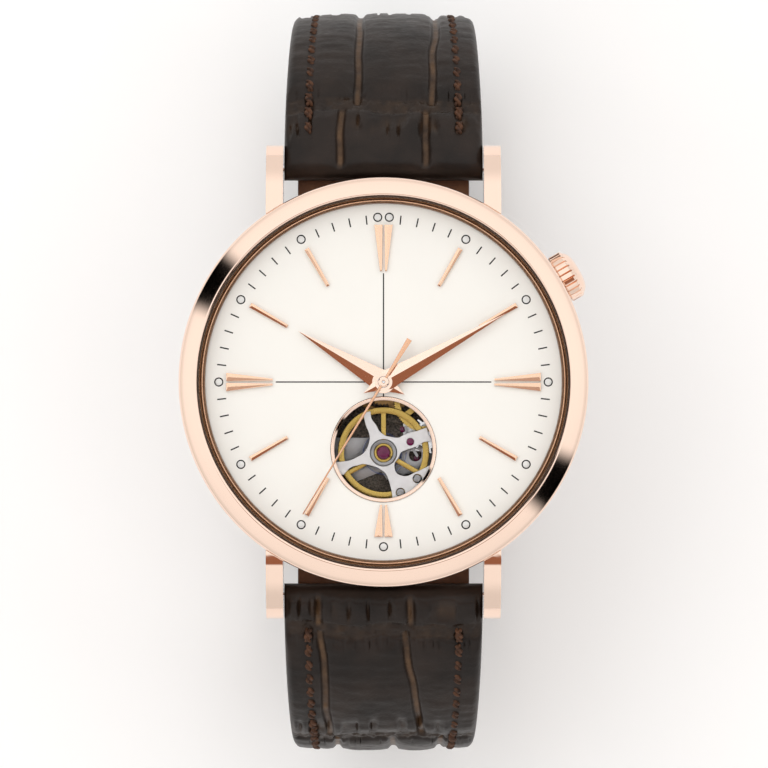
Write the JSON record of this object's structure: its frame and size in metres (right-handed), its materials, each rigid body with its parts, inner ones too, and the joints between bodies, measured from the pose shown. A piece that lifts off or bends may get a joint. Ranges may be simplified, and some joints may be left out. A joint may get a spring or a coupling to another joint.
{
  "type": "open-heart automatic wristwatch",
  "caption": "Round dress wristwatch with a dial cut open over its balance, a see-through back and a buckled crocodile-pattern leather strap.",
  "frame": {"origin": "centre of the case back window, on its outer face, which lies against the wrist", "axes": "+Z out of the dial, +Y towards 12 o'clock, +X towards 3 o'clock"},
  "size_m": [0.041, 0.0761, 0.0527],
  "materials": {
    "rose_gold": "polished, rose-gold plated",
    "dark_rose": "satin, dark rose plated",
    "dial_enamel": "matt ivory lacquer",
    "sapphire": "clear, polished",
    "black_rubber": "matt",
    "nickel_plate": "frosted nickel",
    "polished_steel": "polished steel",
    "gilt_brass": "gilt, satin",
    "blued_steel": "blued",
    "ruby": "polished synthetic ruby",
    "croc_leather": "satin dark brown, crocodile pattern",
    "lining_leather": "matt brown, fine grain"
  },
  "bodies": {
    "case": {"case_middle": "rose_gold", "bezel": "rose_gold", "crystal": "sapphire", "crystal_gasket": "black_rubber", "rehaut_ring": "dark_rose", "dial": "dial_enamel", "aperture_ring": "rose_gold", "case_back": "rose_gold", "case_back_window": "sapphire", "case_back_gasket": "black_rubber", "movement_holder": "nickel_plate", "crown_tube": "polished_steel", "spring_bar_12": "polished_steel", "spring_bar_6": "polished_steel", "strap_12_outer": "croc_leather", "strap_12_lining": "lining_leather", "strap_6_outer": "croc_leather", "strap_6_lining": "lining_leather", "fixed_keeper": "croc_leather", "buckle_bar": "polished_steel", "main_plate": "nickel_plate", "train_bridge": "nickel_plate", "balance_cock": "nickel_plate", "balance_bridge": "polished_steel", "automatic_bridge": "nickel_plate", "hairspring": "blued_steel", "balance_jewel": "ruby", "bridge_screw_right": "polished_steel", "bridge_screw_lower": "polished_steel"},
    "seconds": {"seconds_pinion": "polished_steel", "seconds_hand": "rose_gold"},
    "fourth": {"fourth_wheel": "gilt_brass"},
    "third": {"third_wheel": "gilt_brass"},
    "minutes": {"center_wheel": "gilt_brass", "cannon_pinion": "polished_steel", "minute_hand": "rose_gold"},
    "barrel": {"barrel": "gilt_brass", "mainspring": "polished_steel"},
    "escape": {"escape_wheel": "polished_steel"},
    "motion_work": {"minute_wheel": "gilt_brass"},
    "hours": {"hour_wheel": "gilt_brass", "hour_hand": "rose_gold"},
    "pallets": {"pallet_fork": "polished_steel"},
    "balance": {"balance_wheel": "gilt_brass"},
    "winding": {"winding_pinion": "polished_steel"},
    "crown_and_stem": {"crown": "rose_gold", "winding_stem": "polished_steel"},
    "sliding": {"sliding_pinion": "polished_steel"},
    "setting": {"setting_lever": "polished_steel"},
    "crown_gear": {"crown_wheel": "polished_steel"},
    "ratchet": {"ratchet_wheel": "polished_steel", "barrel_arbor": "polished_steel"},
    "click": {"click": "polished_steel"},
    "rotor": {"rotor": "polished_steel", "rotor_gear": "polished_steel"},
    "reversing": {"reversing_wheel": "ruby"},
    "free_keeper": {"free_keeper": "croc_leather"},
    "buckle": {"buckle_frame": "rose_gold"},
    "tongue": {"buckle_tongue": "rose_gold"}
  },
  "joints": [
    {"name": "seconds_turn", "type": "hinge", "parent": "case", "child": "seconds", "pos_m": [0, 0, 0.005], "axis": [0, 0, -1], "continuous": true},
    {"name": "fourth_turn", "type": "hinge", "parent": "case", "child": "fourth", "pos_m": [0.0042, -0.00188, 0.004], "axis": [0, 0, -1], "continuous": true},
    {"name": "third_turn", "type": "hinge", "parent": "case", "child": "third", "pos_m": [0.00323, 0.00159, 0.004], "axis": [0, 0, -1], "continuous": true},
    {"name": "minutes_turn", "type": "hinge", "parent": "case", "child": "minutes", "pos_m": [0, 0, 0.005], "axis": [0, 0, -1], "continuous": true},
    {"name": "barrel_turn", "type": "hinge", "parent": "case", "child": "barrel", "pos_m": [0, 0.0058, 0.0044], "axis": [0, 0, -1], "continuous": true},
    {"name": "escape_turn", "type": "hinge", "parent": "case", "child": "escape", "pos_m": [0.00464, -0.00526, 0.004], "axis": [0, 0, -1], "continuous": true},
    {"name": "motion_work_turn", "type": "hinge", "parent": "case", "child": "motion_work", "pos_m": [0.00249, 0.00144, 0.006], "axis": [0, 0, -1], "continuous": true},
    {"name": "hours_turn", "type": "hinge", "parent": "case", "child": "hours", "pos_m": [0, 0, 0.0065], "axis": [0, 0, -1], "continuous": true},
    {"name": "pallets_rock", "type": "hinge", "parent": "case", "child": "pallets", "pos_m": [0.0026, -0.00607, 0.004], "axis": [0, 0, -1], "range_deg": [-5, 5]},
    {"name": "balance_swing", "type": "hinge", "parent": "case", "child": "balance", "pos_m": [0, -0.0071, 0.0045], "axis": [0, 0, -1], "range_deg": [-270, 270]},
    {"name": "winding_turn", "type": "hinge", "parent": "case", "child": "winding", "pos_m": [0.00892, 0.00515, 0.0043], "axis": [0.866, 0.5, 0], "continuous": true},
    {"name": "crown_pull", "type": "slide", "parent": "winding", "child": "crown_and_stem", "axis": [0.866, 0.5, 0], "range_m": [0, 0.001]},
    {"name": "sliding_pinion_slide", "type": "slide", "parent": "winding", "child": "sliding", "axis": [0.866, 0.5, 0], "range_m": [-0.0006, 0]},
    {"name": "setting_lever_turn", "type": "hinge", "parent": "case", "child": "setting", "pos_m": [0.00786, 0.00719, 0.006], "axis": [0, 0, -1], "range_deg": [0, 16]},
    {"name": "crown_wheel_turn", "type": "hinge", "parent": "case", "child": "crown_gear", "pos_m": [0.00658, 0.0038, 0.0027], "axis": [0, 0, -1], "continuous": true},
    {"name": "ratchet_turn", "type": "hinge", "parent": "case", "child": "ratchet", "pos_m": [0, 0.0058, 0.0027], "axis": [0, 0, -1], "continuous": true},
    {"name": "click_lift", "type": "hinge", "parent": "case", "child": "click", "pos_m": [-0.00434, 0.00276, 0.0027], "axis": [0, 0, 1], "range_deg": [0, 6], "stiffness_Nm_per_rad": 0.000001, "springref_deg": -5.73},
    {"name": "rotor_turn", "type": "hinge", "parent": "case", "child": "rotor", "pos_m": [0, 0, 0.002], "axis": [0, 0, -1], "continuous": true},
    {"name": "reversing_turn", "type": "hinge", "parent": "case", "child": "reversing", "pos_m": [-0.00282, -0.00103, 0.00265], "axis": [0, 0, -1], "continuous": true},
    {"name": "free_keeper_slide", "type": "slide", "parent": "case", "child": "free_keeper", "axis": [0, 1, 0], "range_m": [-0.0018, 0.0018]},
    {"name": "buckle_hinge", "type": "hinge", "parent": "case", "child": "buckle", "pos_m": [0, 0.002, -0.0375], "axis": [1, 0, 0], "range_deg": [0, 4]},
    {"name": "tongue_hinge", "type": "hinge", "parent": "buckle", "child": "tongue", "pos_m": [0, 0.002, -0.0375], "axis": [1, 0, 0], "range_deg": [0, 5]}
  ],
  "couplings": [
    {"joint": "fourth_turn", "follows": "seconds_turn", "ratio": 1},
    {"joint": "third_turn", "follows": "seconds_turn", "ratio": -0.13333},
    {"joint": "minutes_turn", "follows": "seconds_turn", "ratio": 0.016667},
    {"joint": "barrel_turn", "follows": "seconds_turn", "ratio": -0.0027778},
    {"joint": "escape_turn", "follows": "seconds_turn", "ratio": -12},
    {"joint": "motion_work_turn", "follows": "seconds_turn", "ratio": -0.0055556},
    {"joint": "hours_turn", "follows": "seconds_turn", "ratio": 0.0013889},
    {"joint": "crown_wheel_turn", "follows": "winding_turn", "ratio": -0.64286},
    {"joint": "ratchet_turn", "follows": "winding_turn", "ratio": 0.3913},
    {"joint": "reversing_turn", "follows": "rotor_turn", "ratio": -0.66667},
    {"joint": "sliding_pinion_slide", "follows": "crown_pull", "ratio": -0.6},
    {"joint": "setting_lever_turn", "follows": "crown_pull", "rad_per_m": 262}
  ]
}
